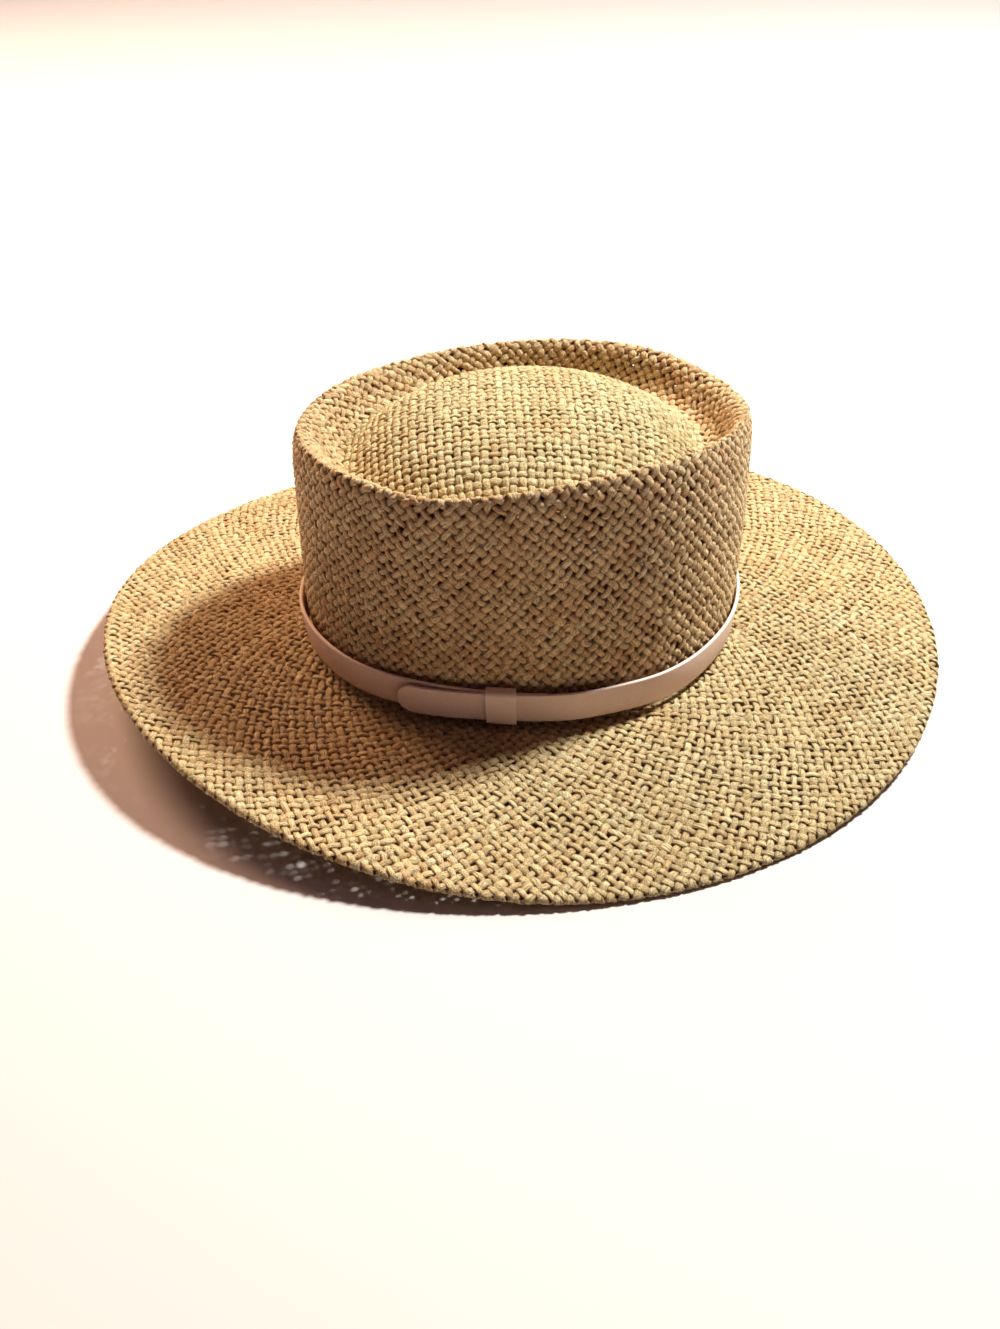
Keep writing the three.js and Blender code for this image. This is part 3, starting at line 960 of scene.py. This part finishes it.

# Straw of the crown's wall, the dome and the brim. The hollow colour in each is painted shade for the low
# places of the weave, and the crown's straw is warmer with a darker hollow colour than the dome's and the
# brim's: painted shade for the wall, which lies in shade.
strawLooks = {
    "crown": {
        "Pale": (0.87, 0.70, 0.43, 1), "Middle": (0.79, 0.57, 0.32, 1), "Deep": (0.71, 0.44, 0.23, 1),
        "HollowShade": (0.50, 0.34, 0.24, 1), "Twist": 0.7, "Fibres": 2.3, "Patches": 60.0,
    },
    "dome": {
        "Pale": (0.82, 0.74, 0.46, 1), "Middle": (0.75, 0.62, 0.35, 1), "Deep": (0.68, 0.50, 0.25, 1),
        "HollowShade": (0.58, 0.42, 0.29, 1), "Twist": 0.7, "Fibres": 2.3, "Patches": 60.0,
    },
    "brim": {
        "Pale": (0.86, 0.73, 0.45, 1), "Middle": (0.78, 0.60, 0.33, 1), "Deep": (0.70, 0.48, 0.24, 1),
        "HollowShade": (0.58, 0.42, 0.29, 1), "Twist": 0.7, "Fibres": 2.3, "Patches": 45.0,
    },
}
strawSurface = {"relief": 1.0, "depth": 0.0009, "gloss": 0.5}
strawMaterials = {
    name: addFinish(f"{name} straw", strawFibre, ("Tint", "Lifted"), look, strawSurface)
    for name, look in strawLooks.items()
}
for name, piece in strawPieces.items():
    piece.data.materials.append(strawMaterials[name.split("_")[0]])

grainLook = {
    "cloudDetail": 4.0,
    "cloudRoughness": 0.55,
    "clouds": (0.35, 0.68),  # share of the cloud's colour
    "creases": (0.0, 0.16),  # height, by distance from a crease between the pores
    "creaseHeight": 0.5,
    "fineScale": 0.6,  # share of the pores' scale
    "fineDetail": 3.0,
    "fineHeight": 0.5,
    "wornShift": 0.25,
    "wear": (0.35, 0.85),  # share of the edge's colour
    "darker": (0.0, 1.0, 0.90, 1.0),  # brightness, by height beside a crease
    "wornRough": 0.3,  # how much rougher worn leather is
    "rough": (0.3, 0.9, 0.42, 0.62),  # the surface's roughness
}


# Smooth leather: fine pores with darker creases between them, cloudy colour, and edges that are worn paler
def leatherGroup():
    look = grainLook
    tree, given, result = addGroup(
        "leatherGrain",
        [("Worn", "NodeSocketFloat"), ("Colour", "NodeSocketColor"), ("Cloud", "NodeSocketColor"),
         ("Edge", "NodeSocketColor"), ("Clouds", "NodeSocketFloat"), ("Pores", "NodeSocketFloat")],
        [("Color", "NodeSocketColor"), ("Roughness", "NodeSocketFloat"), ("Height", "NodeSocketFloat")],
    )
    place = addNode(tree, "ShaderNodeTexCoord").outputs["Object"]
    cloud = addNoise(tree, place, given["Clouds"], look["cloudDetail"], look["cloudRoughness"])
    cloud = addRange(tree, cloud, *look["clouds"])
    colour = addMix(tree, cloud, given["Colour"], given["Cloud"])
    pores = addNode(tree, "ShaderNodeTexVoronoi", {
        "Vector": place, "Scale": given["Pores"]}, feature="DISTANCE_TO_EDGE").outputs["Distance"]
    crease = addRange(tree, pores, *look["creases"])
    fineScale = addMath(tree, "MULTIPLY", given["Pores"], look["fineScale"])
    fine = addNoise(tree, place, fineScale, look["fineDetail"])
    uneven = addMath(tree, "MULTIPLY", fine, look["fineHeight"])
    height = addMath(tree, "ADD", addMath(tree, "MULTIPLY", crease, look["creaseHeight"]), uneven)
    worn = addMath(tree, "ADD", given["Worn"], addMath(tree, "SUBTRACT", uneven, look["wornShift"]))
    worn = addRange(tree, worn, *look["wear"])
    colour = addMix(tree, worn, colour, given["Edge"])
    darker = addRange(tree, crease, *look["darker"])
    colour = addMix(tree, 1.0, colour, addGrey(tree, darker), "MULTIPLY")
    rough = addMath(tree, "ADD", fine, addMath(tree, "MULTIPLY", worn, look["wornRough"]))
    rough = addRange(tree, rough, *look["rough"])
    for label, value in (("Color", colour), ("Roughness", rough), ("Height", height)):
        tree.links.new(value, result[label])
    return tree


leatherGrain = leatherGroup()
leatherLooks = {
    "band_strap": {
        "Colour": (0.88, 0.66, 0.59, 1), "Cloud": (0.82, 0.61, 0.53, 1), "Edge": (0.93, 0.77, 0.70, 1),
        "Clouds": 55.0, "Pores": 1500.0,
    },
    "band_keeper": {
        "Colour": (0.95, 0.76, 0.69, 1), "Cloud": (0.90, 0.71, 0.63, 1), "Edge": (0.97, 0.83, 0.77, 1),
        "Clouds": 80.0, "Pores": 1500.0,
    },
}
leatherSurface = {"relief": 0.35, "depth": 0.00012, "gloss": 0.4}
for node, look in leatherLooks.items():
    name = node.replace("_", " ") + " leather"
    material = addFinish(name, leatherGrain, ["Worn"], look, leatherSurface)
    leatherPieces[node].data.materials.append(material)

# Floor, light and camera
stageLook = {
    "floorHalf": 4.0,
    "floorColour": (0.76, 0.71, 0.71, 1),
    "floorShade": 0.96,  # darkest clouds of the floor
    "floorClouds": (3.0, 3.0),  # scale and detail
    "floorRoughness": 0.9,
    "lightsAim": (0, 0, 0.05),
    "worldColour": (1.0, 0.60, 0.56, 1),
    "worldStrength": 0.065,
}
bm = bmesh.new()
bmesh.ops.create_grid(bm, x_segments=1, y_segments=1, size=stageLook["floorHalf"])
floorMesh = bpy.data.meshes.new("floor")
bm.to_mesh(floorMesh)
bm.free()
floor = bpy.data.objects.new("floor", floorMesh)
bpy.context.collection.objects.link(floor)
floorLook = bpy.data.materials.new("pale floor")
floorLook.use_nodes = True
tree = floorLook.node_tree
spot = addNode(tree, "ShaderNodeTexCoord").outputs["Object"]
cloud = addNoise(tree, spot, *stageLook["floorClouds"])
darker = (*(stageLook["floorShade"] * value for value in stageLook["floorColour"][:3]), 1)
tone = addMix(tree, cloud, darker, stageLook["floorColour"])
tree.links.new(tone, tree.nodes["Principled BSDF"].inputs["Base Color"])
tree.nodes["Principled BSDF"].inputs["Roughness"].default_value = stageLook["floorRoughness"]
floorMesh.materials.append(floorLook)

lights = {
    "key": {"place": (-0.22, 0.99, 1.44), "size": 0.26, "power": 48, "colour": (0.95, 0.96, 0.89)},
    "fill": {"place": (-1.0, -0.45, 0.75), "size": 0.7, "power": 13, "colour": (1.0, 0.64, 0.42)},
    "top": {"place": (0.1, -0.1, 1.3), "size": 1.2, "power": 0.5, "colour": (1.0, 0.66, 0.72)},
}
for name, light in lights.items():
    data = bpy.data.lights.new(name, "AREA")
    data.shape = "DISK"
    data.size = light["size"]
    data.energy = light["power"]
    data.color = light["colour"]
    lamp = bpy.data.objects.new(name, data)
    lamp.location = light["place"]
    aim = Vector(stageLook["lightsAim"]) - lamp.location
    lamp.rotation_euler = aim.to_track_quat("-Z", "Y").to_euler()
    bpy.context.collection.objects.link(lamp)

world = bpy.context.scene.world or bpy.data.worlds.new("studio")
bpy.context.scene.world = world
world.use_nodes = True
background = world.node_tree.nodes["Background"]
background.inputs["Color"].default_value = stageLook["worldColour"]
background.inputs["Strength"].default_value = stageLook["worldStrength"]

view = {
    "place": (0.6300, -0.2449, 0.4454),
    "looks": (-0.8094, 0.3130, -0.4969),
    "roll": 0.016,
    "lens": 47.05,
    "shift": (-0.0178, -0.1018),
}
cameraData = bpy.data.cameras.new("camera")
cameraData.lens = view["lens"]
cameraData.shift_x, cameraData.shift_y = view["shift"]
camera = bpy.data.objects.new("camera", cameraData)
looks = Vector(view["looks"]).normalized()
right = looks.cross(Vector((0, 0, 1))).normalized()
up = right.cross(looks)
rolledRight = math.cos(view["roll"]) * right + math.sin(view["roll"]) * up
rolledUp = math.cos(view["roll"]) * up - math.sin(view["roll"]) * right
turned = Matrix((rolledRight, rolledUp, -looks)).transposed().to_4x4()
camera.matrix_world = Matrix.Translation(view["place"]) @ turned
bpy.context.collection.objects.link(camera)
bpy.context.scene.camera = camera
bpy.context.scene.view_settings.view_transform = "Standard"
bpy.context.scene.view_settings.look = "Medium High Contrast"
